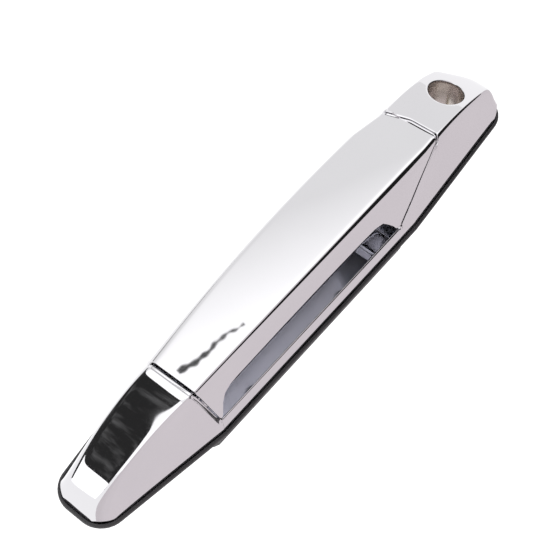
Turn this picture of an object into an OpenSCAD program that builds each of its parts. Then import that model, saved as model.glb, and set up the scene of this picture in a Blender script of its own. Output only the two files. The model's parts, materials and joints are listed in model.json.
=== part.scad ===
// Pull handle for a truck door: chrome bezel with a finger cup, a hinged paddle and its lever.
// X runs along the handle towards the key end, Y into the door, Z up; the door skin is y = 0.
// Heights h are measured outwards from the door skin, so a point at height h lies at y = -h.

/* [Bezel] */
// Length of the chrome bezel
bezel_l = 274.4; // [272:0.2:276]
// Height of the chrome bezel in its middle
bezel_w = 44; // [43.6:0.1:44.4]
// Height of the paddle's crease above the door skin
crest = 40; // [39:0.1:41]
// Wall of the bezel moulding
wall = 2.2; // [1.8:0.1:2.4]
// Depth of the finger cup behind the door skin
cup_d = 13; // [11:0.1:13]

/* [Key hole] */
// Distance of the key hole from the middle of the handle
key_x = 108; // [107:0.1:109]
// Radius of the bore that takes the lock cylinder
key_r = 8.35; // [8:0.05:8.5]

/* [Paddle] */
// Thickness of the chrome paddle shell
shell_t = 2.6; // [2:0.1:2.8]
// Gap between the paddle and the bezel at both ends
gap = 1.3; // [1:0.1:1.6]

/* [Fixings] */
// Distance between the two mounting studs
stud_pitch = 184; // [182:0.5:185]
// Radius of the mounting studs, M6
stud_r = 3; // [2.5:0.5:3]
// Radius of the hinge pin
pin_r = 2; // [1.8:0.1:2.1]

/* [Hidden] */
$fn = 48;
eps = 0.01;

half = bezel_l / 2;
mid_w = bezel_w / 2;
base_h = 3;            // height at which the chrome flank starts
back_h = 1.2;          // height of the bezel's back rim, where it sits on the gasket
front_taper = -73;     // the outline narrows in front of this station
rear_taper = 60;       // and behind this one
shelf_h = 2.4;         // ledge round the cup, under the paddle
cup_x = [-68, 46];     // ends of the cup, halfway down its end walls
soft = 0.9;            // softness of the blends between the faces

// hinge of the paddle and pivot of the bellcrank, both along X, as [y, z]
hinge = [5, 12.5];
pivot = [28.5, 4.5];

// ---- outline of the bezel, grown by o ----
function cut(x, r, o) = let (e = half + o - abs(x))
    e < r ? r - sqrt(max(0, r * r - (r - e) * (r - e))) : 0;
function top_z(x) = mid_w - 0.125 * max(0, front_taper - x) - 0.085 * max(0, x - rear_taper);
function bot_z(x) = -mid_w + 0.145 * max(0, front_taper + 1 - x) + 0.085 * max(0, x - rear_taper);
function top_edge(x, o = 0) = top_z(x) + o - cut(x, (x > 0 ? 13 : 9) + o, o);
function bot_edge(x, o = 0) = bot_z(x) - o + cut(x, 9 + o, o);
ARC = [for (a = [0:10:90]) 14 * (1 - cos(a))];
function stations(o) = concat([for (e = ARC) -half - o + e], [front_taper, 0, rear_taper],
    [for (i = [len(ARC) - 1:-1:0]) half + o - ARC[i]]);
function outline(o) = concat([for (x = stations(o)) [x, bot_edge(x, o)]],
    [for (i = [len(stations(o)) - 1:-1:0]) let (x = stations(o)[i]) [x, top_edge(x, o)]]);

// ---- the chrome skin, a height over the door skin, inset by d ----
function sum(v, i = 0) = i < len(v) ? v[i] + sum(v, i + 1) : 0;
function blend(v) = let (m = min(v)) m - soft * ln(sum([for (a = v) exp((m - a) / soft)]));
function mix(a, b, t) = a + (b - a) * t;
// crease and upper edge of the top face
function crease_z(x) = max(-13.8 + 0.085 * max(0, -82 - x) + 0.045 * max(0, x - 82),
    mix(bot_edge(x), top_edge(x), 0.2));
function upper_z(x) = min(x < -82 ? 9.1 : x > 60 ? 16.3 - 0.1 * min(30, x - 60)
    : 17 - 0.00065 * (x - 28) * (x - 28), mix(bot_edge(x), top_edge(x), 0.8));
function crest_h(x) = x < -80 ? crest - 0.5 - 0.0094 * (x + 80) * (x + 80)
    : x > 80 ? crest - 1 - 0.00645 * (x - 80) * (x - 80) : crest;
function top_h(x, z) = crest_h(x) - 0.065 * (z + 13.8);
function skin(x, z, d = 0) = blend([
    base_h + (crest_h(x) - base_h) / (crease_z(x) - bot_z(x)) * (z - bot_z(x) - d),
    base_h + (crest_h(x) - base_h - 2) / (top_z(x) - upper_z(x)) * (top_z(x) - d - z),
    base_h + 2.7 * (x + half - d),
    base_h + 3 * (half - d - x),
    base_h + 4 * (110.3 - d - 0.807 * x - 0.588 * z),
    top_h(x, z) - d]);

// rows across the handle: zone 0 is the lower flank, 1 the top face, 2 the upper flank
ROWS = [[0, 0], [0, .19], [0, .5], [0, .8], [0, .95], [1, .02], [1, .12], [1, .4], [1, .7], [1, .95],
    [2, .05], [2, .3], [2, .65], [2, 1]];
function row_z(x, row, d) = row[0] == 0 ? mix(bot_edge(x) + d, crease_z(x) + 0.8 * d, row[1])
    : row[0] == 1 ? mix(crease_z(x) + 0.8 * d, upper_z(x) - 0.8 * d, row[1])
    : mix(upper_z(x) - 0.8 * d, top_edge(x) - d, row[1]);

// section of the bezel between its ends, front face and back face, as [z, h]
MID = [[-mid_w, base_h], [-20.4, 10], [-19.4, 10.2], [-18.4, 0], [-17.3, 4 - cup_d],
    [-14.5, -cup_d], [-5, -cup_d], [1, 2 - cup_d], [5, -3], [8.4, shelf_h], [17, shelf_h], [19.6, 6],
    [20.7, 6], [mid_w, base_h]];
MID_BACK = [[-21.2, back_h], [-20.8, back_h], [-20.4, back_h], [-19.6, 0], [-19.1, 3 - cup_d],
    [-15.5, -cup_d - wall], [-5, -cup_d - wall], [2.3, -cup_d], [6.4, -5], [9, shelf_h - wall],
    [17, shelf_h - wall], [19.8, back_h], [20.6, back_h], [21.2, back_h]];

// where the bezel's ends stop, by row: a leaning edge at the front, a slanted one at the key end
function front_split(row) = row[0] == 0 ? mix(-73.4, -82, max(0, row[1] - .19) / .81) : -82;
function key_split(row) = row[0] == 0 ? mix(50.5, 82.6, max(0, row[1] - .19) / .81)
    : row[0] == 1 ? lookup(row[1], [[0, 82.6], [.1, 83.6], [.6, 83], [1, 78]]) : 78;

lip = 1.2;             // the ends step down by this much where they meet the paddle
FRONT = [0, .008, .03, .07, .13, .22, .38, .58, .8, .95, 1];
function front_x(s, row, d) = mix(-half + d, front_split(row) - (s > 0.5 ? d : 0), s);
function key_x_at(s, row, d) = mix(half - d, key_split(row) + (s > 0.5 ? d : 0), s);
function cap_point(x, row, d) = let (z = row_z(x, row, d)) [x, -max(skin(x, z, d), back_h + eps), z];
function with_skirts(pts) = let (a = pts[0], b = pts[len(pts) - 1])
    concat([[a[0], -back_h, a[2]]], pts, [[b[0], -back_h, b[2]]]);
function flat(pts) = [for (p = pts) [p[0], -back_h, p[2]]];
function lip_at(s, row) = s == 1 && row != ROWS[0] && row != ROWS[1] && row != ROWS[len(ROWS) - 1] ? lip : 0;
function front_line(s, d) = with_skirts([for (r = ROWS) cap_point(front_x(s, r, d), r, d + lip_at(s, r))]);
function key_line(s, d) = with_skirts([for (r = ROWS) cap_point(key_x_at(s, r, d), r, d + lip_at(s, r))]);
// a section of the middle: at the split (0), at the top of the cup's end wall (1) and at its foot (2)
function mid_line(side, step, d) = let (m = d > 0 ? MID_BACK : MID, lowest = d > 0 ? shelf_h - wall : shelf_h)
    with_skirts([for (i = [0:len(ROWS) - 1]) on_outline(
        [step > 0 ? cup_x[side] + (side - 0.5) * (3 * (3 - 2 * step) + (d > 0 ? 3 : 0))
            : side == 0 ? front_split(ROWS[i]) + 0.4 - d : key_split(ROWS[i]) - 0.4 + d,
        -(step < 2 ? max(m[i][1], lowest) : m[i][1]), m[i][0]])]);
function on_outline(p) = [p[0], p[1], p[2] < -19 ? p[2] + mid_w + bot_z(p[0]) : p[2] > 19 ? p[2] - mid_w + top_z(p[0]) : p[2]];
function bezel_lines(d) = concat([flat(front_line(0, d))], [for (s = FRONT) front_line(s, d)],
    [for (step = [0:2]) mid_line(0, step, d)], [for (step = [2:-1:0]) mid_line(1, step, d)],
    [for (i = [len(FRONT) - 1:-1:0]) key_line(FRONT[i], d)],
    [flat(key_line(0, d))]);

// closed shell between two grids of points with the same rows and stations
module shell(front, back) {
    n = len(front);
    m = len(front[0]);
    b = n * m;
    function at(i, j) = i * m + j;
    polyhedron(
        points = concat([for (l = front) each l], [for (l = back) each l]),
        faces = concat(
            [for (i = [0:n - 2], j = [0:m - 2]) each [[at(i, j), at(i, j + 1), at(i + 1, j + 1)],
                [at(i, j), at(i + 1, j + 1), at(i + 1, j)]]],
            [for (i = [0:n - 2], j = [0:m - 2]) each [[b + at(i, j), b + at(i + 1, j + 1), b + at(i, j + 1)],
                [b + at(i, j), b + at(i + 1, j), b + at(i + 1, j + 1)]]],
            [for (i = [0:n - 2]) each [[at(i, 0), at(i + 1, 0), b + at(i, 0)],
                [at(i + 1, 0), b + at(i + 1, 0), b + at(i, 0)],
                [at(i, m - 1), b + at(i, m - 1), at(i + 1, m - 1)],
                [at(i + 1, m - 1), b + at(i, m - 1), b + at(i + 1, m - 1)]]],
            [for (j = [0:m - 2]) each [[at(0, j), b + at(0, j), at(0, j + 1)],
                [at(0, j + 1), b + at(0, j), b + at(0, j + 1)],
                [at(n - 1, j), at(n - 1, j + 1), b + at(n - 1, j)],
                [at(n - 1, j + 1), b + at(n - 1, j + 1), b + at(n - 1, j)]]]));
}

// a cylinder along Y from y0 to y1, and one along X from x0 to x1
module y_rod(x, z, r, y0, y1) translate([x, y0, z]) rotate([-90, 0, 0]) cylinder(r = r, h = y1 - y0);
module x_rod(p, r, x0, x1) translate([x0, p[0], p[1]]) rotate([0, 90, 0]) cylinder(r = r, h = x1 - x0);
module block(a, b) translate(a) cube(b - a);
module plate(shape, y0, y1) translate([0, y1, 0]) rotate([90, 0, 0]) linear_extrude(y1 - y0) polygon(shape);

key_z = 0.5;           // height of the key hole's axis
screw_r = 1.5;
SCREWS = [[-124, 0], [-103, 8], [-103, -8], [90, -11], [125, -2]];
HOOKS = [[58, 0], [73, 0]];
lug_r = 3;             // lugs inside the bezel's ends that take its screws
function lug_h(p) = min([for (i = [-1, 1], j = [-1, 1]) skin(p[0] + i * lug_r, p[1] + j * lug_r)]) - 0.7 * wall;
ARMS = [-56, 39];      // hinge arms of the paddle
DRIVE = 20;            // the arm that works the bellcrank

module bezel() color([0.86, 0.86, 0.88]) difference() {
    union() {
        shell(bezel_lines(0), bezel_lines(wall));
        y_rod(key_x, key_z, key_r + 2, -29.5, 6);
        for (p = SCREWS) y_rod(p[0], p[1], lug_r, -lug_h(p), -2.8);
    }
    y_rod(key_x, key_z, key_r, -50, 10);
    for (p = SCREWS) y_rod(p[0], p[1], screw_r, -9, 0);
    for (x = concat(ARMS, DRIVE)) block([x - 5, -9, 6.9], [x + 5, 8, 19.2]);
}

module gasket() color([0.06, 0.06, 0.065]) difference() {
    plate(outline(1.6), -2.7, 0);
    plate(outline(0.2), -5, -back_h);
    plate(outline(-1.3), -5, 1);
}

// black frame behind the bezel: two end plates joined by a tray round the finger cup
tray_y = 17.6;         // back of the tray
tray_x = [-73.4, 51.2];
// section of the tray, outside and inside, as [z, h]
TRAY = [[-21.8, -0.4], [-21.8, -6], [-20.8, -10], [-17.5, -tray_y], [21.6, -tray_y], [21.6, -0.4]];
TRAY_IN = [[-19.9, 1], [-19.9, -5], [-19.5, -9.5], [-16, 2 - tray_y], [19.9, 2 - tray_y], [19.9, 1]];
EARS = [-64, -48.5, 31.5, 46];
module chassis() color([0.05, 0.05, 0.055]) difference() {
    union() {
        difference() {
            plate(outline(-3.4), -2.6, 0.4);
            block([-86.5, -5, -25], [86.5, 5, 25]);
        }
        for (x = [[-96, tray_x[0]], [tray_x[1], 96]]) block([x[0], 0, -14.5], [x[1], 3, 14.5]);
        difference() {
            x_plate(TRAY, tray_x[0], tray_x[1]);
            x_plate(TRAY_IN, tray_x[0] + 2, tray_x[1] - 2);
        }
        for (x = [-62:12:-2]) block([x, tray_y - 0.5, -15], [x + 1.8, tray_y + 1.6, 19]);
        for (x = EARS) block([x - 1.5, 0.4, 9.4], [x + 1.5, tray_y - 1, 20.5]);
        for (x = [DRIVE - 12, DRIVE + 11]) {
            block([x, tray_y - 1, pivot[1] - 5.4], [x + 3, pivot[0], pivot[1] + 5.4]);
            x_rod(pivot, 5.5, x, x + 3);
        }
    }
    block([DRIVE - 7.2, tray_y - 5, -1.5], [DRIVE + 8.8, tray_y + 1, 19.9]);
    x_rod(hinge, pin_r + 0.05, -66, 48);
    x_rod(pivot, pin_r + 0.05, DRIVE - 14, DRIVE + 16);
    y_rod(key_x, key_z, key_r + 2.3, -5, 5);
    for (x = [-1, 1]) y_rod(x * stud_pitch / 2, 0, stud_r + 1.3, -5, 5);
    for (p = concat(SCREWS, HOOKS)) y_rod(p[0], p[1], screw_r, -5, 5);
}

// pressed steel hook that catches the edge of the door skin above the handle
module hook_bracket() color([0.75, 0.76, 0.78]) difference() {
    union() {
        block([53, 3, -4], [78, 4.5, 21]);
        block([53, 3, 19.5], [78, 4.5, 27.5]);
        block([51, 1.5, 26], [85.5, 3, 28.7]);
        block([53, 1.5, 26], [78, 4.5, 27.5]);
    }
    for (p = HOOKS) y_rod(p[0], p[1], screw_r, 0, 8);
}

module pan_screw(x, z, y0, y1) {
    y_rod(x, z, screw_r, y0, y1);
    difference() {
        y_rod(x, z, 3, y1, y1 + 1.8);
        translate([x, y1 + 0.8, z]) for (a = [0, 90]) rotate([0, a, 0]) block([-2, 0, -0.4], [2, 2, 0.4]);
    }
}
module hook_screws() color([0.6, 0.61, 0.63]) for (p = HOOKS) pan_screw(p[0], p[1], 0, 4.5);
module bezel_screws() color([0.3, 0.3, 0.32])
    for (p = SCREWS) pan_screw(p[0], p[1], -9, abs(p[0]) < 96 ? 3 : 0.4);

module mounting_studs() color([0.7, 0.68, 0.55]) for (x = [-1, 1]) translate([x * stud_pitch / 2, 0, 0]) {
    y_rod(0, 0, stud_r, 0, 28);
    y_rod(0, 0, stud_r + 1.2, -2.6, 0);
    y_rod(0, 0, 5, -4.4, -2.6);
}
module hinge_pin() color([0.66, 0.66, 0.68]) x_rod(hinge, pin_r, -67.2, 48.9);
module pin_clips() color([0.35, 0.35, 0.37]) for (x = [-66.5, 47.7]) difference() {
    x_rod(hinge, 4, x, x + 0.8);
    x_rod(hinge, pin_r, x - 1, x + 2);
}

// torsion spring round an X axis, with two straight legs; turns are computed along a helix
module coil(p, r, wire, x0, turns, leg_a, leg_b, reach) {
    steps = turns * 12;
    pitch = wire * 1.15;
    path = concat([[x0, p[0] + r * cos(leg_a) - reach * sin(leg_a), p[1] + r * sin(leg_a) + reach * cos(leg_a)]],
        [for (i = [0:steps]) let (a = leg_a - (360 * turns + leg_a - leg_b) * i / steps)
            [x0 + pitch * turns * i / steps, p[0] + r * cos(a), p[1] + r * sin(a)]],
        [[x0 + pitch * turns, p[0] + r * cos(leg_b) + reach * sin(leg_b),
            p[1] + r * sin(leg_b) - reach * cos(leg_b)]]);
    tube(path, wire / 2);
}
function unit(v) = v / norm(v);
SIDES = 8;
module tube(path, r) {
    n = len(path);
    function dir(i) = unit(path[min(n - 1, i + 1)] - path[max(0, i - 1)]);
    function ring(i) = let (t = dir(i), u = unit(cross(t, [1, 0.001, 0.002])), v = cross(t, u))
        [for (k = [0:SIDES - 1]) path[i] + r * (cos(360 * k / SIDES) * u + sin(360 * k / SIDES) * v)];
    polyhedron(points = [for (i = [0:n - 1]) each ring(i)],
        faces = concat([[for (k = [0:SIDES - 1]) k]], [[for (k = [SIDES - 1:-1:0]) (n - 1) * SIDES + k]],
            [for (i = [0:n - 2], k = [0:SIDES - 1]) let (a = i * SIDES + k, b = i * SIDES + (k + 1) % SIDES)
                each [[a, a + SIDES, b], [b, a + SIDES, b + SIDES]]]));
}
module return_spring() color([0.5, 0.5, 0.52]) coil(hinge, 4.2, 1.2, DRIVE - 14.4, 7, 270, 90, 9.5);
module bellcrank_spring() color([0.5, 0.5, 0.52]) coil(pivot, 5.6, 1, DRIVE - 6.8, 3, 200, 40, 5);
module bump_stop() color([0.08, 0.08, 0.08]) block([DRIVE - 3, 12, 18.9], [DRIVE + 3, 16.5, 19.9]);

// ---- paddle ----
// lower edge of the paddle's flank, from the front foot over the finger arch to the rear foot, as [x, h]
ARCH = [[-72.2, 12], [-71, 17], [-69.2, 21.5], [-65.5, 24.8], [-59, 26.2], [-30, 26.8], [0, 26.8], [25, 26.4],
    [35, 25.8], [40.5, 23.5], [44.5, 18.5], [49.2, 12]];
// stations along the crease above them
CREASE = [-82 + gap, -79.5, -77, -73, -66, -36, -4, 24, 44, 60, 72, 81.2];
FINE = 2;              // stations between two neighbours in the lists above
LIFT = 9.5;            // height of the lower edge of the upper flank
PADDLE_ROWS = [[0, 0], [0, .35], [0, .7], [0, .9], [1, .02], [1, .12], [1, .4], [1, .7], [1, .95],
    [2, .05], [2, .35], [2, .7], [2, 1]];
function at_h(x, h, d) = bot_edge(x) + d + (h - base_h) * (crease_z(x) - bot_z(x)) / (crest_h(x) - base_h);
relief = 1.9;           // the paddle's key end stands back here, as it swings past the bezel
function paddle_point(i, row, d) = let (
        k = min(floor(i / FINE), len(ARCH) - 2), t = i / FINE - k,
        e = mix(ARCH[k], ARCH[k + 1], t), c = mix(CREASE[k], CREASE[k + 1], t),
        s = (c - CREASE[0]) / (CREASE[len(CREASE) - 1] - CREASE[0]),
        end = key_split(row) - gap - relief * (row[0] == 0 ? 0 : row[0] == 2 ? 1 : max(0, min(1, (row[1] - 0.2) / 0.25))),
        x = row[0] == 0 ? mix(e[0], c, row[1]) : mix(CREASE[0], end, s),
        z = row[0] == 0 ? at_h(x, mix(e[1], crest - 1, row[1]), d)
            : row[0] == 1 ? row_z(x, row, d)
            : mix(upper_z(x) - 0.8 * d, top_edge(x) - d - 0.8, row[1]),
        h = row[0] == 0 ? min(mix(e[1], crest - 1, row[1]), skin(x, z, d))
            : row[0] == 1 ? min(crest, skin(x, z, d)) : mix(skin(x, z, d), LIFT, row[1] * row[1]))
    [x, -h, z];
function paddle_lines(d) = [for (i = [0:FINE * (len(ARCH) - 1)]) [for (r = PADDLE_ROWS) paddle_point(i, r, d)]];
module paddle_shell() color([0.88, 0.88, 0.9]) shell(paddle_lines(0), paddle_lines(shell_t));

// chromed moulding behind the shell, with the hinge arms and the drive arm
GRIP = [[-10.8, 22], [-11.2, 34], [7, 33.4], [14.2, 12.5], [10, 10], [4, 13], [-3, 21]];
grip_x = [-65, 70];
rib = 4.6;             // ribs between the four bays of the carrier
bay = (grip_x[1] - grip_x[0] - rib) / 4;
module x_plate(shape, x0, x1) translate([x0, 0, 0]) rotate([90, 0, 90]) linear_extrude(x1 - x0)
    polygon([for (q = shape) [-q[1], q[0]]]);
// side view of an arm, from the grip down to the hinge
ARM = [[10, 16], [14.2, 16], [14, 4], [14.6, -4], [10.4, -5], [8.6, 4]];
// tail of the drive arm, reaching over the bellcrank's boss
TAIL = [[16.5, -3], [18.6, -9], [18.2, -23], [13.35, -22.7], [14.9, -9.9], [11, -7.5]];
module paddle_carrier() color([0.82, 0.82, 0.84]) difference() {
    union() {
        difference() {
            x_plate(GRIP, grip_x[0], grip_x[1]);
            for (i = [0:3]) x_plate([[-8, 24], [-8.6, 34.5], [5, 34.5], [10, 18], [5, 17]],
                grip_x[0] + rib + bay * i, grip_x[0] + bay * (i + 1));
        }
        for (x = ARMS) {
            x_plate(ARM, x - 4, x + 4);
            x_rod(hinge, 5, x - 4, x + 4);
        }
        x_plate(ARM, DRIVE - 4, DRIVE + 4);
        x_rod(hinge, 5, DRIVE - 4, DRIVE + 4);
        x_plate(TAIL, DRIVE - 4, DRIVE + 4);
        x_rod([12, 18.4], 1, DRIVE - 5.8, DRIVE - 3.5);
    }
    for (x = ARMS) x_rod(hinge, 3, x - 5, x + 5);
    x_rod(hinge, pin_r + 0.4, DRIVE - 5, DRIVE + 5);
    for (x = GRIP_SCREWS) y_rod(x, screw_z, 1.25, -33.2, -10);
}
screw_z = -7;
GRIP_SCREWS = [for (i = [1, 3]) grip_x[0] + bay * i + rib / 2];
module carrier_screws() color([0.3, 0.3, 0.32]) for (x = GRIP_SCREWS) {
    y_rod(x, screw_z, 1.25, -33, -21);
    y_rod(x, screw_z, 2.2, -21, -19.6);
}
module hinge_bushes() color([0.85, 0.83, 0.75]) for (x = ARMS) difference() {
    union() {
        x_rod(hinge, 3, x - 4, x + 4);
        x_rod(hinge, 4.4, x - 4.8, x - 4);
        x_rod(hinge, 4.4, x + 4, x + 4.8);
    }
    x_rod(hinge, pin_r + 0.05, x - 6, x + 6);
}

// ---- lever behind the frame ----
boss = pivot + 12.41 * [cos(148.7), sin(148.7)];
eye = pivot + 18 * [cos(-20), sin(-20)];
module bellcrank_pin() color([0.66, 0.66, 0.68]) x_rod(pivot, pin_r, DRIVE - 14.5, DRIVE + 15.4);
module bellcrank_clip() color([0.35, 0.35, 0.37]) difference() {
    x_rod(pivot, 4, DRIVE + 14.2, DRIVE + 15);
    x_rod(pivot, pin_r, DRIVE + 13, DRIVE + 16);
}
module arm_plate(a, b, ra, rb, x0, x1) translate([x0, 0, 0]) rotate([90, 0, 90]) linear_extrude(x1 - x0)
    let (n = unit(b - a), s = [-n[1], n[0]]) {
        translate(a) circle(ra);
        translate(b) circle(rb);
        polygon([a + 0.8 * ra * s, b + 0.8 * rb * s, b - 0.8 * rb * s, a - 0.8 * ra * s]);
    }
module bellcrank() color([0.72, 0.68, 0.5]) difference() {
    union() {
        x_rod(pivot, 4.4, DRIVE - 8.4, DRIVE + 10.6);
        arm_plate(pivot, boss, 4.4, 2.9, DRIVE + 5, DRIVE + 7.5);
        x_rod(boss, 2.6, DRIVE - 3.5, DRIVE + 7.5);
        arm_plate(pivot, eye, 4.4, 5, DRIVE + 7.5, DRIVE + 10.5);
    }
    x_rod(pivot, pin_r + 0.05, DRIVE - 12, DRIVE + 13);
    x_rod(eye, 2.6, DRIVE + 3, DRIVE + 13);
}
// clip that swivels in the bellcrank's eye and holds the rod to the latch
clip_x = DRIVE + 11.4;
rod_x = clip_x + 3.2;
rod_r = 2;
module rod_clip() color([0.82, 0.82, 0.76]) difference() {
    union() {
        x_rod(eye, 2.55, clip_x - 4.8, clip_x + 0.1);
        x_rod(eye, 3.4, clip_x - 5.8, clip_x - 4.7);
        x_rod(eye, 4.2, clip_x - 0.7, clip_x + 0.2);
        block([clip_x, eye[0] - 3.6, eye[1] - 5], [clip_x + 6.6, eye[0] + 3.6, eye[1] + 5]);
    }
    translate([rod_x, eye[0], eye[1] - 6]) cylinder(r = rod_r, h = 12);
}

bezel();
gasket();
chassis();
hook_bracket();
hook_screws();
bezel_screws();
mounting_studs();
hinge_pin();
pin_clips();
return_spring();
bump_stop();
paddle_shell();
paddle_carrier();
carrier_screws();
hinge_bushes();
bellcrank_pin();
bellcrank_clip();
bellcrank_spring();
bellcrank();
rod_clip();
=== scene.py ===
# Exterior pull handle for a truck door: chrome bezel and paddle, rubber gasket, frame and lever.
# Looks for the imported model. Lengths are in metres, X along the handle, Y into the door, Z up.
import json
import math
import bmesh
import bpy
import numpy as np
from mathutils import Matrix, Vector

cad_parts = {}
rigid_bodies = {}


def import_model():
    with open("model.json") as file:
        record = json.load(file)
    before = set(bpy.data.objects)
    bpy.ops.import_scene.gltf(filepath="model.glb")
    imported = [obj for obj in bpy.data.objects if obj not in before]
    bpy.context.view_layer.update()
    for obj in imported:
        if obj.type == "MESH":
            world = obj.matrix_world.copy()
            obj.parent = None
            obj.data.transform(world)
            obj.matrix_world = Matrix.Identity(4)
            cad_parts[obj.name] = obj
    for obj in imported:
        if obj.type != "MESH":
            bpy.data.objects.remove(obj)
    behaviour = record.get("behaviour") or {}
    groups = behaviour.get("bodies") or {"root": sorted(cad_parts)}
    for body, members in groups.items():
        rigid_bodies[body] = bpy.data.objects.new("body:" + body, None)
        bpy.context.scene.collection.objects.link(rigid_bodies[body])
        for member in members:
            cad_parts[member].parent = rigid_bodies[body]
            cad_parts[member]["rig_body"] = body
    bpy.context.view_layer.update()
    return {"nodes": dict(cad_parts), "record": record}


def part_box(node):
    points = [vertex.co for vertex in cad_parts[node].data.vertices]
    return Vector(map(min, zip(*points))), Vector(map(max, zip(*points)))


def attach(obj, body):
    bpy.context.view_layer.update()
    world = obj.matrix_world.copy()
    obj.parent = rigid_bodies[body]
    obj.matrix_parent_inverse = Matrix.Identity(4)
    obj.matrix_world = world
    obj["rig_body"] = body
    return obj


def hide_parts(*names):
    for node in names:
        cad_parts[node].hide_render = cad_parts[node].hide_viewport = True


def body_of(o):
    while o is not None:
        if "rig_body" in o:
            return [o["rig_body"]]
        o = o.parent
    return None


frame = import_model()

MM = 0.001

# ---------------------------------------------------------------- sizes, in millimetres
HALF = 137.2            # half the length of the chrome bezel
MID_W = 22.0            # half its height in the middle
CREST = 40.0            # height of the crease above the door skin
BASE_H = 3.0            # height at which the chrome flank starts
BACK_H = 1.2            # height of the chrome's back rim on the gasket
FRONT_TAPER, REAR_TAPER = -73.0, 60.0
SHELF_H = 2.4           # ledge round the finger cup
CUP_D = 13.0            # depth of the cup behind the door skin
KEY_X, KEY_Z, KEY_R = 108.0, 0.5, 8.35
SOFT, TIP_SOFT = 2.0, 2.7                        # softness of the blends between the faces, middle and tips
CREASE_Z = -13.8        # the crease in the middle of the handle
CAP_X = 82              # the caps' edges leave the paddle's lines beyond this
UPPER_X, UPPER_Z, UPPER_BOW = 30, 17.2, 0.00051  # upper edge of the top face: its highest place and its bow
UPPER_FRONT_Z = 10.8    # the same edge on the front cap
CREST_X = 80            # the crest bows down to the tips from here
FRONT_BOW, KEY_BOW = 0.0094, 0.00645
FRONT_STEEP, KEY_STEEP, CORNER_STEEP = 2.7, 3, 4 # rise of the two tips and of the key end's cut corner
CORNER_X, CORNER_Z, CORNER_AT = 0.807, 0.588, 110.3
TOP_FALL = 0.065        # fall of the top face towards its upper edge


def mix(a, b, t):
    return a + (b - a) * t


def smooth_step(t):
    t = np.clip(t, 0, 1)
    return t * t * (3 - 2 * t)


# ---------------------------------------------------------------- the chrome skin
def cut(x, r, o=0.0):
    e = HALF + o - np.abs(x)
    return np.where(e < r, r - np.sqrt(np.clip(r * r - (r - e) ** 2, 0, None)), 0)


def top_z(x):
    return MID_W - 0.125 * np.clip(FRONT_TAPER - x, 0, None) - 0.085 * np.clip(x - REAR_TAPER, 0, None)


def bot_z(x):
    return -MID_W + 0.145 * np.clip(FRONT_TAPER + 1 - x, 0, None) + 0.085 * np.clip(x - REAR_TAPER, 0, None)


def top_edge(x, o=0.0):
    return top_z(x) + o - np.where(x > 0, cut(x, 13 + o, o), cut(x, 9 + o, o))


def bot_edge(x, o=0.0):
    return bot_z(x) - o + cut(x, 9 + o, o)


def crease_z(x):
    nominal = CREASE_Z + 0.085 * np.clip(-CAP_X - x, 0, None) + 0.045 * np.clip(x - CAP_X, 0, None)
    return np.maximum(nominal, mix(bot_edge(x), top_edge(x), 0.17))


def upper_z(x):
    middle = UPPER_Z - UPPER_BOW * (x - UPPER_X) ** 2
    rear = 16.7 - 0.16 * np.clip(x - REAR_TAPER, 0, 15)
    nominal = np.where(x < -CAP_X, UPPER_FRONT_Z, np.where(x > REAR_TAPER, rear, middle))
    return np.minimum(nominal, mix(bot_edge(x), top_edge(x), 0.9))


def crest_h(x):
    return np.where(x < -CREST_X, CREST - 0.5 - FRONT_BOW * (x + CREST_X) ** 2,
                    np.where(x > CREST_X, CREST - 1 - KEY_BOW * (x - CREST_X) ** 2, CREST))


def skin(x, z, d=0.0):
    """Height of the chrome over the door skin, inset by d: a soft minimum of the two flanks, the two tips,
    the key end's cut corner and the top face."""
    faces = np.stack([
        BASE_H + (crest_h(x) - BASE_H) / (crease_z(x) - bot_z(x)) * (z - bot_z(x) - d),
        BASE_H + (crest_h(x) - BASE_H - 2) / (top_z(x) - upper_z(x)) * (top_z(x) - d - z),
        BASE_H + FRONT_STEEP * (x + HALF - d),
        BASE_H + KEY_STEEP * (HALF - d - x),
        BASE_H + CORNER_STEEP * (CORNER_AT - d - CORNER_X * x - CORNER_Z * z),
        crest_h(x) - TOP_FALL * (z - CREASE_Z) - d])
    low = faces.min(0)
    soft = mix(SOFT, TIP_SOFT, smooth_step((np.abs(x) - 108) / 24))
    return low - soft * np.log(np.exp((low - faces) / soft).sum(0))


# rows across the handle: v runs over the lower flank, the top face and the upper flank
V_CREASE, V_UPPER, F_RIM = 0.36, 0.80, 0.19


def row_z(x, v, d=0.0):
    flank = mix(bot_edge(x) + d, crease_z(x) + 0.8 * d, np.clip(v / V_CREASE, 0, 1))
    top = mix(crease_z(x) + 0.8 * d, upper_z(x) - 0.8 * d, np.clip((v - V_CREASE) / (V_UPPER - V_CREASE), 0, 1))
    upper = mix(upper_z(x) - 0.8 * d, top_edge(x) - d, np.clip((v - V_UPPER) / (1 - V_UPPER), 0, 1))
    return np.where(v < V_CREASE, flank, np.where(v < V_UPPER, top, upper))


def smoothed(table, v, width=0.02):
    """A polyline through (v, value) pairs with its corners rounded over width."""
    fine = np.linspace(0, 1, 1001)
    line = np.interp(fine, [t[0] for t in table], [t[1] for t in table])
    reach = max(1, int(width * 1000))
    padded = np.pad(line, reach, mode="edge")
    kernel = np.hanning(2 * reach + 3)[1:-1]
    return np.interp(v, fine, np.convolve(padded, kernel / kernel.sum(), mode="valid"))


def front_split(v):
    return smoothed([(0, -73.4), (F_RIM * V_CREASE, -73.4), (V_CREASE, -82), (1, -82)], v, 0.012)


def key_split(v):
    return smoothed([(0, 50.5), (F_RIM * V_CREASE, 50.5), (V_CREASE - 0.005, 81.9), (V_CREASE + 0.03, 83.3),
                     (0.6, 82.6), (0.78, 78.6), (1, 78)], v, 0.025)


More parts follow.
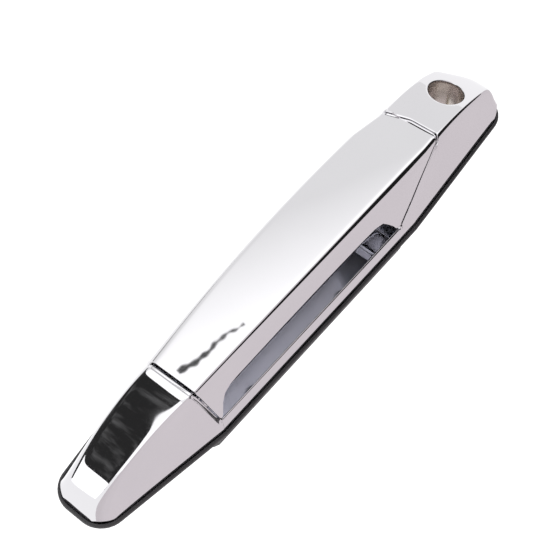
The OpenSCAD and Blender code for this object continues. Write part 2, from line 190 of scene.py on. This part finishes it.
# ---------------------------------------------------------------- camera and studio
AZIMUTH, ELEVATION, ROLL = 25.0, 17.0, 54.0     # the camera looks up from below and turns about its axis
AIM = Vector((-0.0085, -0.020, 0.0035))
CAMERA_DISTANCE = 0.700
LENS = 107.7


def make_camera():
    a, e, roll = (math.radians(t) for t in (AZIMUTH, ELEVATION, ROLL))
    ahead = Vector((math.sin(a) * math.cos(e), math.cos(a) * math.cos(e), math.sin(e)))
    right = Vector((math.cos(a), -math.sin(a), 0))
    up = right.cross(ahead)
    cam_right = math.cos(roll) * right - math.sin(roll) * up
    cam_up = math.sin(roll) * right + math.cos(roll) * up
    data = bpy.data.cameras.new("camera")
    data.lens, data.sensor_width, data.sensor_fit = LENS, 36.0, "HORIZONTAL"
    data.clip_start, data.clip_end = 0.01, 20
    camera = bpy.data.objects.new("camera", data)
    bpy.context.scene.collection.objects.link(camera)
    turn = Matrix((cam_right, cam_up, -ahead)).transposed()
    camera.matrix_world = Matrix.Translation(AIM - ahead * CAMERA_DISTANCE) @ turn.to_4x4()
    bpy.context.scene.camera = camera


make_camera()


# ---------------------------------------------------------------- small mesh helpers
def link_mesh(name, bm):
    """Hands a bmesh over to a new object in the scene."""
    mesh = bpy.data.meshes.new(name)
    bm.to_mesh(mesh)
    bm.free()
    made = bpy.data.objects.new(name, mesh)
    bpy.context.scene.collection.objects.link(made)
    return made


def new_piece(name, bm, body):
    """Turns a bmesh in millimetres into a piece that rides on a body."""
    bmesh.ops.scale(bm, vec=(MM, MM, MM), verts=bm.verts)
    piece = link_mesh(name, bm)
    piece.data.shade_smooth()
    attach(piece, body)
    return piece


def grid_surface(us, vs, place):
    """A grid whose columns are us and rows are vs, moved vertex by vertex onto a surface in millimetres."""
    bm = bmesh.new()
    bmesh.ops.create_grid(bm, x_segments=len(us) - 1, y_segments=len(vs) - 1, size=1)
    bm.verts.ensure_lookup_table()
    co = np.array([v.co for v in bm.verts])
    i = np.rint((co[:, 0] + 1) / 2 * (len(us) - 1)).astype(int)
    j = np.rint((co[:, 1] + 1) / 2 * (len(vs) - 1)).astype(int)
    points = place(np.asarray(us)[i], np.asarray(vs)[j])
    for v, p in zip(bm.verts, points):
        v.co = p
    return bm, i, j


def dense(stops, counts):
    """Values through the stops, with that many steps between each two neighbours."""
    parts = [np.linspace(a, b, n, endpoint=False) for a, b, n in zip(stops, stops[1:], counts)]
    return np.concatenate(parts + [[stops[-1]]])


# ---------------------------------------------------------------- paddle
PADDLE_FRONT = -79.6
KEY_GAP = 1.6
# lower edge of the flank as (place along the edge, x, h): front foot, finger arch, rear foot
ARCH = [(0, -72.5, 14.6), (.008, -72.0, 12.9), (.018, -71.3, 12.0), (.03, -70.5, 12.3), (.045, -69.8, 14.6),
        (.10, -68.4, 20.0), (.15, -66.2, 24.0), (.20, -62.5, 25.9), (.26, -57, 26.4), (.4, -30, 26.8),
        (.55, 0, 26.8), (.7, 25, 26.4), (.78, 34.5, 25.9), (.84, 39.6, 24.2), (.89, 42.6, 20.6), (.94, 46.0, 16),
        (.965, 47.2, 13.6), (.98, 48.6, 12.2), (.99, 49.7, 12.0), (1, 51.0, 13.1)]
CREASE = [(0, PADDLE_FRONT), (.05, -79), (.12, -77), (.2, -73), (.3, -60), (.4, -36), (.55, -2), (.7, 26),
          (.8, 46), (.88, 62), (.95, 75), (1, 81.2)]
P_CREASE, P_UPPER = 0.40, 0.82
LIFT = 9.5              # height of the lower edge of the upper flank


def flank_z(x, h, d=0.0):
    return bot_edge(x) + d + (h - BASE_H) * (crease_z(x) - bot_z(x)) / (crest_h(x) - BASE_H)


def paddle_place(u, v):
    ex = smoothed([(a, b) for a, b, c in ARCH], u, 0.006)
    eh = smoothed([(a, c) for a, b, c in ARCH], u, 0.006)
    cx = smoothed(CREASE, u, 0.03)
    along = (cx - CREASE[0][1]) / (CREASE[-1][1] - CREASE[0][1])
    t = np.clip(v / P_CREASE, 0, 1)
    level = mix(eh, CREST - 0.7, t)
    w = np.clip((v - P_CREASE) / (P_UPPER - P_CREASE), 0, 1)
    r = np.clip((v - P_UPPER) / (1 - P_UPPER), 0, 1)
    lift = np.where(v < P_CREASE, V_CREASE, np.where(v < P_UPPER, mix(V_CREASE, V_UPPER, w), mix(V_UPPER, 1, r)))
    rear = key_split(lift) - KEY_GAP + (81.2 + KEY_GAP - key_split(np.array([V_CREASE]))[0]) * np.exp(-w * 12)
    x = np.where(v < P_CREASE, mix(ex, cx, t), mix(PADDLE_FRONT, rear, along))
    z = np.where(v < P_CREASE, flank_z(x, level), row_z(x, lift))
    z = np.where(v < P_UPPER, z, mix(upper_z(x), top_edge(x) - 0.8, r))
    top = skin(x, z)
    h = np.where(v < P_CREASE, np.minimum(level, top), np.where(v < P_UPPER, top, mix(top, LIFT, r * r)))
    return np.stack([x, -h, z], 1)


def face_outwards(bm):
    """Turns an open skin so that it faces away from the door."""
    bmesh.ops.recalc_face_normals(bm, faces=bm.faces)
    if sum(f.normal.y * f.calc_area() for f in bm.faces) > 0:
        bmesh.ops.reverse_faces(bm, faces=bm.faces)


def give_wall(piece, thickness, edge):
    """A wall on the inner side of a skin, in millimetres, with the edges of its rim rounded."""
    wall = piece.modifiers.new("wall", "SOLIDIFY")
    wall.thickness, wall.offset, wall.use_even_offset = thickness * MM, -1, False
    if edge:
        rim = piece.modifiers.new("rim", "BEVEL")
        rim.width, rim.segments, rim.limit_method, rim.angle_limit = edge * MM, 2, "ANGLE", math.radians(50)


def make_paddle():
    us = dense([0, .05, .2, .8, .95, 1], [26, 30, 90, 30, 24])
    vs = dense([0, .05, P_CREASE - .06, P_CREASE + .06, P_UPPER - .05, P_UPPER + .04, 1], [6, 16, 18, 16, 12, 8])
    bm, _, _ = grid_surface(us, vs, paddle_place)
    face_outwards(bm)
    piece = new_piece("paddle_skin", bm, "paddle")
    give_wall(piece, 2.2, 0.35)
    piece.modifiers["wall"].material_offset = 1
    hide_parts("paddle_shell")
    return piece


# ---------------------------------------------------------------- bezel
V_RIM = F_RIM * V_CREASE
CUP_X = (-68.0, 46.0)
# section of the middle as (v, z, h): flank, rim, finger cup, ledge under the paddle, upper rim
SECTION = [(0, -22, 3), (V_RIM, -20.39, 10.0), (.084, -19.5, 10.3), (.10, -18.9, 8), (.2, -17.3, -9),
           (.27, -14.5, -13), (.5, -5, -13), (.6, 1, -11), (.68, 5, -3), (.74, 8.4, 2.4), (.9, 17, 2.4),
           (.95, 19.6, 6), (.965, 20.7, 6), (1, 22, 3)]
# stepped lip at the split: (distance past the edge, depth under the skin)
LIP = [(-.55, 0), (-.3, .03), (-.1, .12), (.02, .3), (.08, .6), (.14, .85), (.3, .98), (.6, 1.0), (1.3, 1.0),
       (1.6, 1.04), (1.8, 1.2), (1.9, 1.5)]
ARM_SLOTS = (-56, 39, 20)    # where the paddle's arms pass through the cup
SLOT_HALF, SLOT_Y, SLOT_Z = 5.8, (-10, 9.5), (6.2, 20)
KEY_LIP = 0.45          # the lip at the key end is this much of the front one's width
LIP_START = 0.55        # where the lip begins, past the split
WALL_STEPS = (.02, .06, .25, .5, .75, .94, .98, 1)      # columns down the wall of the gap
LEDGE_STEPS = (.1, .5, .9, 1)                           # columns over the ledge
CUP_STEPS = 10                                          # columns from the ledge into the cup
CUP_ROUND = 1.6         # half the width of the cup's rounded ends
# key hole, from its edge inwards: (growth of the radius, drop under the skin)
KEY_RINGS = ((.25, .08), (.15, .22), (.05, .4), (0, 2.0), (0, 20), (0, 24))


def cap_point(x, v, d):
    z = row_z(x, v, d)
    return np.stack([x, -np.maximum(skin(x, z, d), BACK_H), z], 1)


def middle_point(x, v, depth):
    """A point of the middle section; depth 0 has the ledge only, depth 1 the whole cup."""
    z = smoothed([(a, b) for a, b, c in SECTION], v, 0.009)
    h = smoothed([(a, c) for a, b, c in SECTION], v, 0.009)
    z = z + (top_edge(x) - MID_W) * smooth_step((v - .8) / .15)
    h = mix(np.maximum(h, SHELF_H), h, depth)
    return np.stack([x, -h, z], 1)


def end_columns(side):
    """Columns of one end, from its tip to the ledge, as functions of v."""
    split, out, lip = (front_split, -1, 1.0) if side < 0 else (key_split, 1, KEY_LIP)
    tip = out * HALF
    columns = [lambda v: np.stack([tip + 0 * v, 0 * v - BACK_H, row_z(tip + 0 * v, v)], 1)]
    for s in (1 - np.cos(np.linspace(0, math.pi / 2, 14)[:-1])) * 0.2:
        columns.append(lambda v, s=s: cap_point(mix(tip, split(v) - out * LIP_START, s), v, 0.0))
    for s in np.linspace(0.2, 1, 60, endpoint=False):
        columns.append(lambda v, s=s: cap_point(mix(tip, split(v) + out * LIP_START, s), v, 0.0))

    def lip_column(v, step):
        fade = smooth_step((v - V_RIM + 0.01) / 0.02)
        return cap_point(split(v) - out * step[0] * lip, v, step[1] * fade)
    for step in LIP:
        columns.append(lambda v, step=step: lip_column(v, step))
    ledge_x = lambda v: split(v) - out * 2.0 * lip
    for t in WALL_STEPS:
        columns.append(lambda v, t=t: mix(lip_column(v, LIP[-1]), middle_point(ledge_x(v), v, 0.0), t)
                       if t < 1 else middle_point(ledge_x(v), v, 0.0))
    cup_top = CUP_X[0] - CUP_ROUND if side < 0 else CUP_X[1] + CUP_ROUND
    for s in LEDGE_STEPS:
        columns.append(lambda v, s=s: middle_point(mix(ledge_x(v), cup_top, s), v, 0.0))
    for s in np.linspace(0, 1, CUP_STEPS + 1)[1:]:
        columns.append(lambda v, s=s: middle_point(cup_top - out * 2 * CUP_ROUND * s + 0 * v, v, smooth_step(s)))
    return columns


def cut_arm_slots(bm):
    holes = []
    for f in bm.faces:
        c = f.calc_center_median()
        if (SLOT_Z[0] < c.z < SLOT_Z[1] and SLOT_Y[0] < c.y < SLOT_Y[1]
                and min(abs(c.x - a) for a in ARM_SLOTS) < SLOT_HALF):
            holes.append(f)
    bmesh.ops.delete(bm, geom=holes, context="FACES")


def skin_at(x, z):
    return float(skin(np.array([x]), np.array([z]))[0])


def cut_key_hole(bm):
    """The faces inside the bore go, its edge is drawn onto the circle, and rings of the bore are added."""
    reach = lambda p: math.hypot(p.x - KEY_X, p.z - KEY_Z)

    def onto_circle(v, radius):
        k = radius / reach(v.co)
        return KEY_X + (v.co.x - KEY_X) * k, KEY_Z + (v.co.z - KEY_Z) * k
    inside = [f for f in bm.faces if reach(f.calc_center_median()) < KEY_R + 0.35 and f.calc_center_median().y < -15]
    bmesh.ops.delete(bm, geom=inside, context="FACES")
    ring = [e for e in bm.edges if e.is_boundary and all(reach(v.co) < KEY_R + 2.5 for v in e.verts)]
    for v in {v for e in ring for v in e.verts}:
        x, z = onto_circle(v, KEY_R + 0.45)
        v.co = (x, -skin_at(x, z), z)
    for growth, drop in KEY_RINGS:
        grown = bmesh.ops.extrude_edge_only(bm, edges=ring)["geom"]
        ring = [g for g in grown if isinstance(g, bmesh.types.BMEdge) and g.is_boundary]
        for v in {v for e in ring for v in e.verts}:
            x, z = onto_circle(v, KEY_R + growth)
            # the last two rings are at fixed heights, inside the key end
            v.co = (x, -(skin_at(x, z) - drop if drop < 15 else 8 - (drop - 20) * 3), z)
    for f in bm.faces:
        if reach(f.calc_center_median()) < KEY_R + 0.04:
            f.material_index = 2


def make_bezel():
    front, rear = end_columns(-1), end_columns(1)[::-1]
    cup = [lambda v, s=s: middle_point(mix(CUP_X[0] + CUP_ROUND, CUP_X[1] - CUP_ROUND, s) + 0 * v, v, 1.0)
           for s in np.linspace(0, 1, 70)[1:-1]]
    columns = front + cup + rear
    vs = dense([0, V_RIM - .012, V_RIM + .02, V_CREASE - .05, V_CREASE + .06, V_UPPER - .05, V_UPPER + .05, .93,
                .98, 1], [6, 14, 24, 18, 26, 16, 8, 14, 5])
    rows = np.concatenate([[-1], vs, [2]])      # -1 and 2 are the skirts down to the gasket

    def place(u, v):
        points = np.zeros((len(u), 3))
        for k, column in enumerate(columns):
            here = np.rint(u).astype(int) == k
            points[here] = column(np.clip(v[here], 0, 1))
        skirt = (v < 0) | (v > 1)
        points[skirt, 1] = -BACK_H
        return points
    bm, i, j = grid_surface(np.arange(len(columns)), rows, place)
    # painted shade: the walls of the gap round the paddle get the black plastic finish, which stands in for the shade
    # deep in the gap
    lip_foot = len(front) - CUP_STEPS - len(LEDGE_STEPS) - len(WALL_STEPS) - 2
    for f in bm.faces:
        steps = [min(i[v.index], len(columns) - 1 - i[v.index]) for v in f.verts]
        on_wall = min(steps) >= lip_foot and max(steps) <= lip_foot + len(WALL_STEPS)
        if on_wall and min(rows[j[v.index]] for v in f.verts) > 0.085:
            f.material_index = 1
    cut_arm_slots(bm)
    cut_key_hole(bm)
    face_outwards(bm)
    piece = new_piece("bezel_skin", bm, "housing")
    give_wall(piece, 1.1, 0)
    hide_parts("bezel")
    return piece


# ---------------------------------------------------------------- gasket
def make_gasket():
    arc = 14 * (1 - np.cos(np.linspace(0, math.pi / 2, 12)))    # finer steps round the tips
    xs = np.concatenate([arc - HALF, np.linspace(-110, -76, 8), [-74, -73, -72, -70], np.linspace(-60, 50, 12),
                         [57, 59, 60, 61, 63], np.linspace(75, 115, 8), (HALF - arc)[::-1]])
    # closed ring of the outline, then rings of the rubber's rounded section as (offset, h)
    section = [(0.1, 1.2), (0.12, 2.6), (0.35, 2.9), (0.8, 3.0), (1.2, 2.8), (1.45, 2.3), (1.56, 1.6), (1.5, .8),
               (1.35, .2), (1.0, 0), (-2.6, 0), (-3.1, .2), (-3.1, 1.0), (-2.6, 1.18)]
    bm = bmesh.new()
    loop = [(x, bot_edge(x)) for x in xs] + [(x, top_edge(x)) for x in xs[::-1]]
    points = []
    for x, z in loop:
        p = (float(x), float(z))
        if not points or math.dist(points[-1], p) > 0.3:
            points.append(p)
    if math.dist(points[0], points[-1]) < 0.3:
        points.pop()
    n = len(points)
    normals = []
    for k in range(n):
        a, b = points[k - 1], points[(k + 1) % n]
        t = Vector((b[0] - a[0], b[1] - a[1])).normalized()
        normals.append((t.y, -t.x))
    ring = [bm.verts.new((p[0], 0, p[1])) for p in points]
    edges = [bm.edges.new((ring[k], ring[(k + 1) % n])) for k in range(n)]
    bm.verts.index_update()

    def settle(verts, off, h):
        for k, v in enumerate(verts):
            v.co = (points[k][0] + normals[k][0] * off, -h, points[k][1] + normals[k][1] * off)
    settle(ring, *section[0])
    first, order = ring, ring
    for off, h in section[1:]:
        grown = bmesh.ops.extrude_edge_only(bm, edges=edges)["geom"]
        verts = [g for g in grown if isinstance(g, bmesh.types.BMVert)]
        edges = [g for g in grown if isinstance(g, bmesh.types.BMEdge) and all(v in set(verts) for v in g.verts)]
        near = {tuple(round(c, 4) for c in v.co): v for v in verts}
        order = [near[tuple(round(c, 4) for c in v.co)] for v in order]
        settle(order, off, h)
    bmesh.ops.bridge_loops(bm, edges=edges + [e for e in bm.edges if all(v in set(first) for v in e.verts)])
    bmesh.ops.recalc_face_normals(bm, faces=bm.faces)
    piece = new_piece("gasket_rubber", bm, "housing")
    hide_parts("gasket")
    return piece


paddle_piece = make_paddle()
bezel_piece = make_bezel()
gasket_piece = make_gasket()


# ---------------------------------------------------------------- hard parts behind the door skin
def soften(name, width):
    """A copy of a CAD part with its edges rounded by width millimetres; it stands for the part."""
    node = frame["nodes"][name]
    bm = bmesh.new()
    bm.from_mesh(node.data)
    bmesh.ops.remove_doubles(bm, verts=bm.verts, dist=2e-6)
    bmesh.ops.dissolve_limit(bm, angle_limit=math.radians(1.5), verts=bm.verts, edges=bm.edges)
    bmesh.ops.scale(bm, vec=(1 / MM, 1 / MM, 1 / MM), verts=bm.verts)
    piece = new_piece(name + "_soft", bm, body_of(node)[0])
    piece.data.set_sharp_from_angle(angle=math.radians(35))
    edge = piece.modifiers.new("edges", "BEVEL")
    edge.width, edge.segments, edge.limit_method, edge.angle_limit = width * MM, 2, "ANGLE", math.radians(40)
    edge.use_clamp_overlap = True
    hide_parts(name)
    return piece


def turned(bm, profile, x, z, sides=28):
    """Spins a profile of (radius, y) about an axis along Y through x, z."""
    verts = [bm.verts.new((x + r, y, z)) for r, y in profile]
    edges = [bm.edges.new(pair) for pair in zip(verts, verts[1:])]
    bmesh.ops.spin(bm, geom=verts + edges, cent=(x, 0, z), axis=(0, 1, 0), dvec=(0, 0, 0),
                   angle=2 * math.pi, steps=sides, use_merge=True, use_duplicate=False)
    bmesh.ops.remove_doubles(bm, verts=bm.verts, dist=0.0005)


def make_studs():
    """Two studs with a rolled thread, on the axes of the CAD studs."""
    low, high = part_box("mounting_studs")
    head_r = 5.0
    half_pitch = (high[0] - low[0]) / MM / 2 - head_r
    profile = [(0, -4.4), (head_r - 0.5, -4.4), (head_r, -4.0), (head_r, -2.6), (4.2, -2.6), (4.2, 0), (3, 0), (3, 4)]
    for k in range(23):
        y = 4 + k
        profile += [(2.62, y + 0.45), (2.62, y + 0.55), (3, y + 0.95), (3, y + 1.0)]
    profile += [(2.3, 27.9), (0, 28)]
    bm = bmesh.new()
    for side in (-1, 1):
        turned(bm, profile, side * half_pitch, 0)
    bmesh.ops.recalc_face_normals(bm, faces=bm.faces)
    piece = new_piece("stud_threads", bm, "housing")
    piece.data.set_sharp_from_angle(angle=math.radians(32))
    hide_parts("mounting_studs")
    return piece


SOFTENED = {"chassis": 0.35, "hook_bracket": 0.3, "bellcrank": 0.3, "rod_clip": 0.3, "bump_stop": 0.25}
soft_pieces = {name: soften(name, width) for name, width in SOFTENED.items()}
soft_pieces["mounting_studs"] = make_studs()


# ---------------------------------------------------------------- shader maths
class Socket:
    """An output of a shader node; sums, products and powers of it add Math nodes."""

    def __init__(self, finish, out):
        self.finish, self.out = finish, out

    def math(self, operation, a, b):
        return self.finish.node("Math", {"operation": operation}, {0: a, 1: b})

    def __add__(self, other):
        return self.math("ADD", self, other)

    def __mul__(self, other):
        return self.math("MULTIPLY", self, other)

    def __pow__(self, other):
        return self.math("POWER", self, other)

    __radd__, __rmul__ = __add__, __mul__


class Finish:
    """A material for one finish, with the nodes that vary it over the part."""

    def __init__(self, name, metallic, roughness):
        self.material = bpy.data.materials.new(name)
        self.material.use_nodes = True
        self.tree = self.material.node_tree
        self.shader = self.tree.nodes["Principled BSDF"]
        self.shader.inputs["Metallic"].default_value = metallic
        self.shader.inputs["Roughness"].default_value = roughness
        self.place = self.node("TexCoord", {}, {}, "Object")

    def node(self, kind, settings, values, out=0):
        node = self.tree.nodes.new("ShaderNode" + kind)
        for key, value in settings.items():
            if key == "stops":
                for k, (at, colour) in enumerate(value):
                    stop = node.color_ramp.elements[k] if k < 2 else node.color_ramp.elements.new(at)
                    stop.position, stop.color = at, (*colour, 1)
            else:
                setattr(node, key, value)
        for key, value in values.items():
            self.put(node.inputs[key], value)
        return Socket(self, node.outputs[out])

    def put(self, target, value):
        if isinstance(value, Socket):
            self.tree.links.new(value.out, target)
        else:
            target.default_value = value

    def set(self, **values):
        for key, value in values.items():
            self.put(self.shader.inputs[key.replace("_", " ")], value)
        return self

    def stretched(self, scale):
        return self.node("Mapping", {}, {"Vector": self.place, "Scale": scale})

    def noise(self, scale, detail=3.0, vector=None, rough=0.5):
        return self.node("TexNoise", {}, {"Vector": vector or self.place, "Scale": scale, "Detail": detail,
                                          "Roughness": rough})

    def ramp(self, value, *stops):
        return self.node("ValToRGB", {"stops": stops}, {"Fac": value})

    def blend(self, fac, a, b):
        """A colour from a to b."""
        return self.ramp(fac, (0, a), (1, b))

    def bump(self, height, distance, strength=1.0):
        return self.node("Bump", {}, {"Height": height, "Distance": distance, "Strength": strength})


def chrome_finish(name, tint):
    """Bright plate: a mirror with faint wiping haze and the slight waviness of moulded plastic beneath."""
    f = Finish(name, 1.0, 0.03)
    haze = f.noise(38, 4)
    swirl = f.noise(900, 2, f.stretched((1, 0.15, 0.15)))
    dark = tuple(c * 0.965 for c in tint)
    return f.set(Base_Color=f.blend(haze, dark, tint),
                 Roughness=0.018 + 0.03 * haze ** 3 + 0.012 * swirl ** 4,
                 Normal=f.bump(f.noise(24, 2), 0.00006, 0.35))


def satin_finish(name, low, high, metallic, roughness):
    """Thin hazy plate on the sides that are not polished."""
    f = Finish(name, metallic, roughness)
    cloud = f.noise(55, 5)
    return f.set(Base_Color=f.blend(cloud, low, high), Roughness=roughness - 0.06 + 0.14 * f.noise(420, 3),
                 Normal=f.bump(f.noise(1200, 2), 0.00003, 0.3))


def rubber_finish():
    f = Finish("rubber_black", 0.0, 0.5)
    grain, bloom = f.noise(2600, 2), f.noise(70, 4)
    return f.set(Base_Color=f.blend(bloom, (0.014, 0.014, 0.015), (0.032, 0.032, 0.035)),
                 Roughness=0.38 + 0.22 * bloom, Normal=f.bump(grain, 0.00004, 0.5))


def nylon_finish():
    f = Finish("nylon_black", 0.0, 0.5)
    cells = f.node("TexVoronoi", {"feature": "SMOOTH_F1"}, {"Vector": f.place, "Scale": 1500})
    flow = f.noise(30, 5, f.stretched((1, 3, 3)))
    return f.set(Base_Color=f.blend(flow, (0.018, 0.018, 0.02), (0.04, 0.04, 0.043)),
                 Roughness=0.42 + 0.2 * flow, Normal=f.bump(cells, 0.00005, 0.6))


def plated_finish(name, tones, roughness, fleck=700):
    """Passivated or phosphated steel: patchy colour from tones and a fine fleck."""
    f = Finish(name, 1.0, roughness)
    patch, grit = f.noise(110, 5, rough=0.6), f.noise(fleck, 3)
    stops = [(0.3 + 0.4 * k / (len(tones) - 1), tone) for k, tone in enumerate(tones)]
    return f.set(Base_Color=f.ramp(patch, *stops), Roughness=roughness - 0.08 + 0.2 * grit,
                 Normal=f.bump(grit, 0.00003, 0.5))


def acetal_finish():
    f = Finish("acetal_natural", 0.0, 0.3)
    cloud = f.noise(60, 3)
    f.set(Base_Color=f.blend(cloud, (0.58, 0.56, 0.48), (0.70, 0.68, 0.61)), Roughness=0.26 + 0.14 * cloud,
          Normal=f.bump(f.noise(800, 2), 0.00003, 0.4))
    f.shader.inputs["Subsurface Weight"].default_value = 0.12
    f.shader.inputs["Subsurface Radius"].default_value = (0.002, 0.0018, 0.0014)
    return f


FINISHES = {
    "chrome_bezel": chrome_finish("chrome_plate_bezel", (0.635, 0.628, 0.648)),
    "chrome_paddle": chrome_finish("chrome_plate_paddle", (0.64, 0.634, 0.652)),
    "gasket_rubber": rubber_finish(),
    "black_plastic": nylon_finish(),
    "zinc_steel": plated_finish("zinc_bright", [(0.40, 0.41, 0.43), (0.52, 0.53, 0.55), (0.46, 0.48, 0.51)], 0.3),
    "yellow_zinc": plated_finish("zinc_yellow", [(0.62, 0.5, 0.2), (0.7, 0.62, 0.36), (0.66, 0.5, 0.38),
                                                 (0.52, 0.6, 0.42)], 0.28),
    "black_steel": plated_finish("phosphate_black", [(0.07, 0.07, 0.075), (0.14, 0.14, 0.15)], 0.45, 1400),
    "spring_steel": plated_finish("spring_wire", [(0.34, 0.34, 0.36), (0.52, 0.52, 0.54)], 0.26, 1800),
    "acetal": acetal_finish(),
}
PADDLE_BACK = satin_finish("plate_back", (0.74, 0.81, 0.92), (0.86, 0.91, 0.99), 0.7, 0.3)
KEY_BORE = satin_finish("key_bore", (0.48, 0.43, 0.40), (0.64, 0.59, 0.56), 0.85, 0.2)
SLOTS = {row["node"]: row["material_slot"] for row in frame["record"]["subparts"]}


def paint(piece, slot):
    if piece.data.materials:
        piece.data.materials.clear()
    piece.data.materials.append(FINISHES[slot].material)


for name, node in frame["nodes"].items():
    paint(node, SLOTS[name])
for name, piece in soft_pieces.items():
    paint(piece, SLOTS[name])
paint(paddle_piece, "chrome_paddle")
paddle_piece.data.materials.append(PADDLE_BACK.material)
carrier = frame["nodes"]["paddle_carrier"]
carrier.data.materials.clear()
carrier.data.materials.append(PADDLE_BACK.material)
paint(bezel_piece, "chrome_bezel")
# painted shade: this black plastic finish goes on the walls of the gap round the paddle, in place of the shade there
bezel_piece.data.materials.append(FINISHES["black_plastic"].material)
bezel_piece.data.materials.append(KEY_BORE.material)
paint(gasket_piece, "gasket_rubber")


# ---------------------------------------------------------------- studio
def card(name, azimuth, elevation, distance, size, tones, lean=0.0, roll=0.0, mottle=0.0, wave=0.0):
    """A flat card that faces the handle; azimuth is from straight in front, positive towards the key end.
    Its tones are (level, brightness), with level 0 at the lower edge and 1 at the upper one; lean tilts them.
    A wave bends the card's edges and draws one end out thin."""
    a, e, turn = math.radians(azimuth), math.radians(elevation), math.radians(roll)
    out = Vector((math.sin(a) * math.cos(e), -math.cos(a) * math.cos(e), math.sin(e)))
    flat = Vector((math.cos(a), math.sin(a), 0))
    steep = flat.cross(out) if flat.cross(out).z > 0 else out.cross(flat)
    side = flat * math.cos(turn) + steep * math.sin(turn)
    up = steep * math.cos(turn) - flat * math.sin(turn)
    bm = bmesh.new()
    bmesh.ops.create_grid(bm, x_segments=60 if wave else 1, y_segments=1, size=0.5)
    for v in bm.verts:
        if wave:
            u = v.co.x
            thinning = 0.75 - 0.9 * u + 0.25 * math.sin(41 * u)
            v.co.y = v.co.y * thinning + wave * (math.sin(8 * u) + 0.3 * math.sin(29 * u))
        v.co = out * distance + side * v.co.x * size[0] + up * v.co.y * size[1]
    piece = link_mesh(name, bm)
    f = Finish(name, 0.0, 1.0)
    along = f.node("VectorMath", {"operation": "DOT_PRODUCT"}, {0: f.place, 1: tuple(side)}, "Value")
    height = f.node("VectorMath", {"operation": "DOT_PRODUCT"}, {0: f.place, 1: tuple(up)}, "Value")
    level = height * (1 / size[1]) + 0.5 + along * (lean / size[0])
    tone = f.ramp(level, *[(at, (t, t, t)) for at, t in tones])
    if mottle:
        patches = f.ramp(f.noise(7, 5, f.stretched((0.4, 0.4, 1.5)), 0.62), (0.52, (0, 0, 0)), (0.66, (mottle,) * 3))
        tone = f.node("VectorMath", {"operation": "ADD"}, {0: tone, 1: patches})
    f.set(Base_Color=(0, 0, 0, 1), Emission_Color=tone, Emission_Strength=1.0)
    f.shader.inputs["Specular IOR Level"].default_value = 0
    piece.data.materials.append(f.material)
    piece.visible_camera = False
    piece.visible_diffuse = False
    piece.visible_shadow = False


FLOOR_SIZE, FLOOR_Z = 40, -1.2      # in metres


def make_floor():
    bm = bmesh.new()
    bmesh.ops.create_grid(bm, x_segments=1, y_segments=1, size=FLOOR_SIZE)
    bmesh.ops.translate(bm, vec=(0, 0, FLOOR_Z), verts=bm.verts)
    floor = link_mesh("floor", bm)
    f = Finish("pale_floor", 0.0, 0.85)
    f.set(Base_Color=f.blend(f.noise(3, 3), (0.60, 0.555, 0.575), (0.64, 0.595, 0.615)))
    floor.data.materials.append(f.material)


def make_light(name, azimuth, elevation, distance, size, power):
    a, e = math.radians(azimuth), math.radians(elevation)
    out = Vector((math.sin(a) * math.cos(e), -math.cos(a) * math.cos(e), math.sin(e)))
    data = bpy.data.lights.new(name, "AREA")
    data.energy, data.size = power, size
    lamp = bpy.data.objects.new(name, data)
    bpy.context.scene.collection.objects.link(lamp)
    lamp.matrix_world = Matrix.Translation(out * distance) @ out.to_track_quat("Z", "Y").to_matrix().to_4x4()
    lamp.visible_glossy = False
    lamp.visible_camera = False


make_floor()
card("grey_panel", 38, 26, 1.25, (1.5, 0.9), ((0.14, 1.75), (0.30, 1.13)), lean=1.28)
card("dark_strip", 18.6, 23.6, 1.12, (0.088, 0.0062), ((0, 0.05), (1, 0.07)), roll=-17, wave=0.3)
card("charcoal_flag", -32, 42, 1.2, (2.24, 0.87), ((0, 0.03), (1, 0.04)), roll=8, mottle=0.14)
card("white_panel", -30, 15, 1.4, (1.7, 1.0), ((0, 1.7), (1, 1.7)))
card("window_panel", -78, 22, 1.1, (0.38, 0.34), ((0, 1.9), (1, 1.9)))
card("crease_flag", 62, -38, 1.0, (1.3, 1.2), ((0, 0.015), (1, 0.02)))
make_light("soft_key", 30, 50, 1.6, 1.2, 9)
make_light("soft_back", 200, 35, 1.6, 1.2, 6)

# a plain white world, which is also the background
world = bpy.data.worlds.new("studio")
bpy.context.scene.world = world
world.use_nodes = True
world.node_tree.nodes["Background"].inputs["Color"].default_value = (1, 1, 1, 1)
world.node_tree.nodes["Background"].inputs["Strength"].default_value = 1.35
bpy.context.scene.view_settings.view_transform = "Standard"
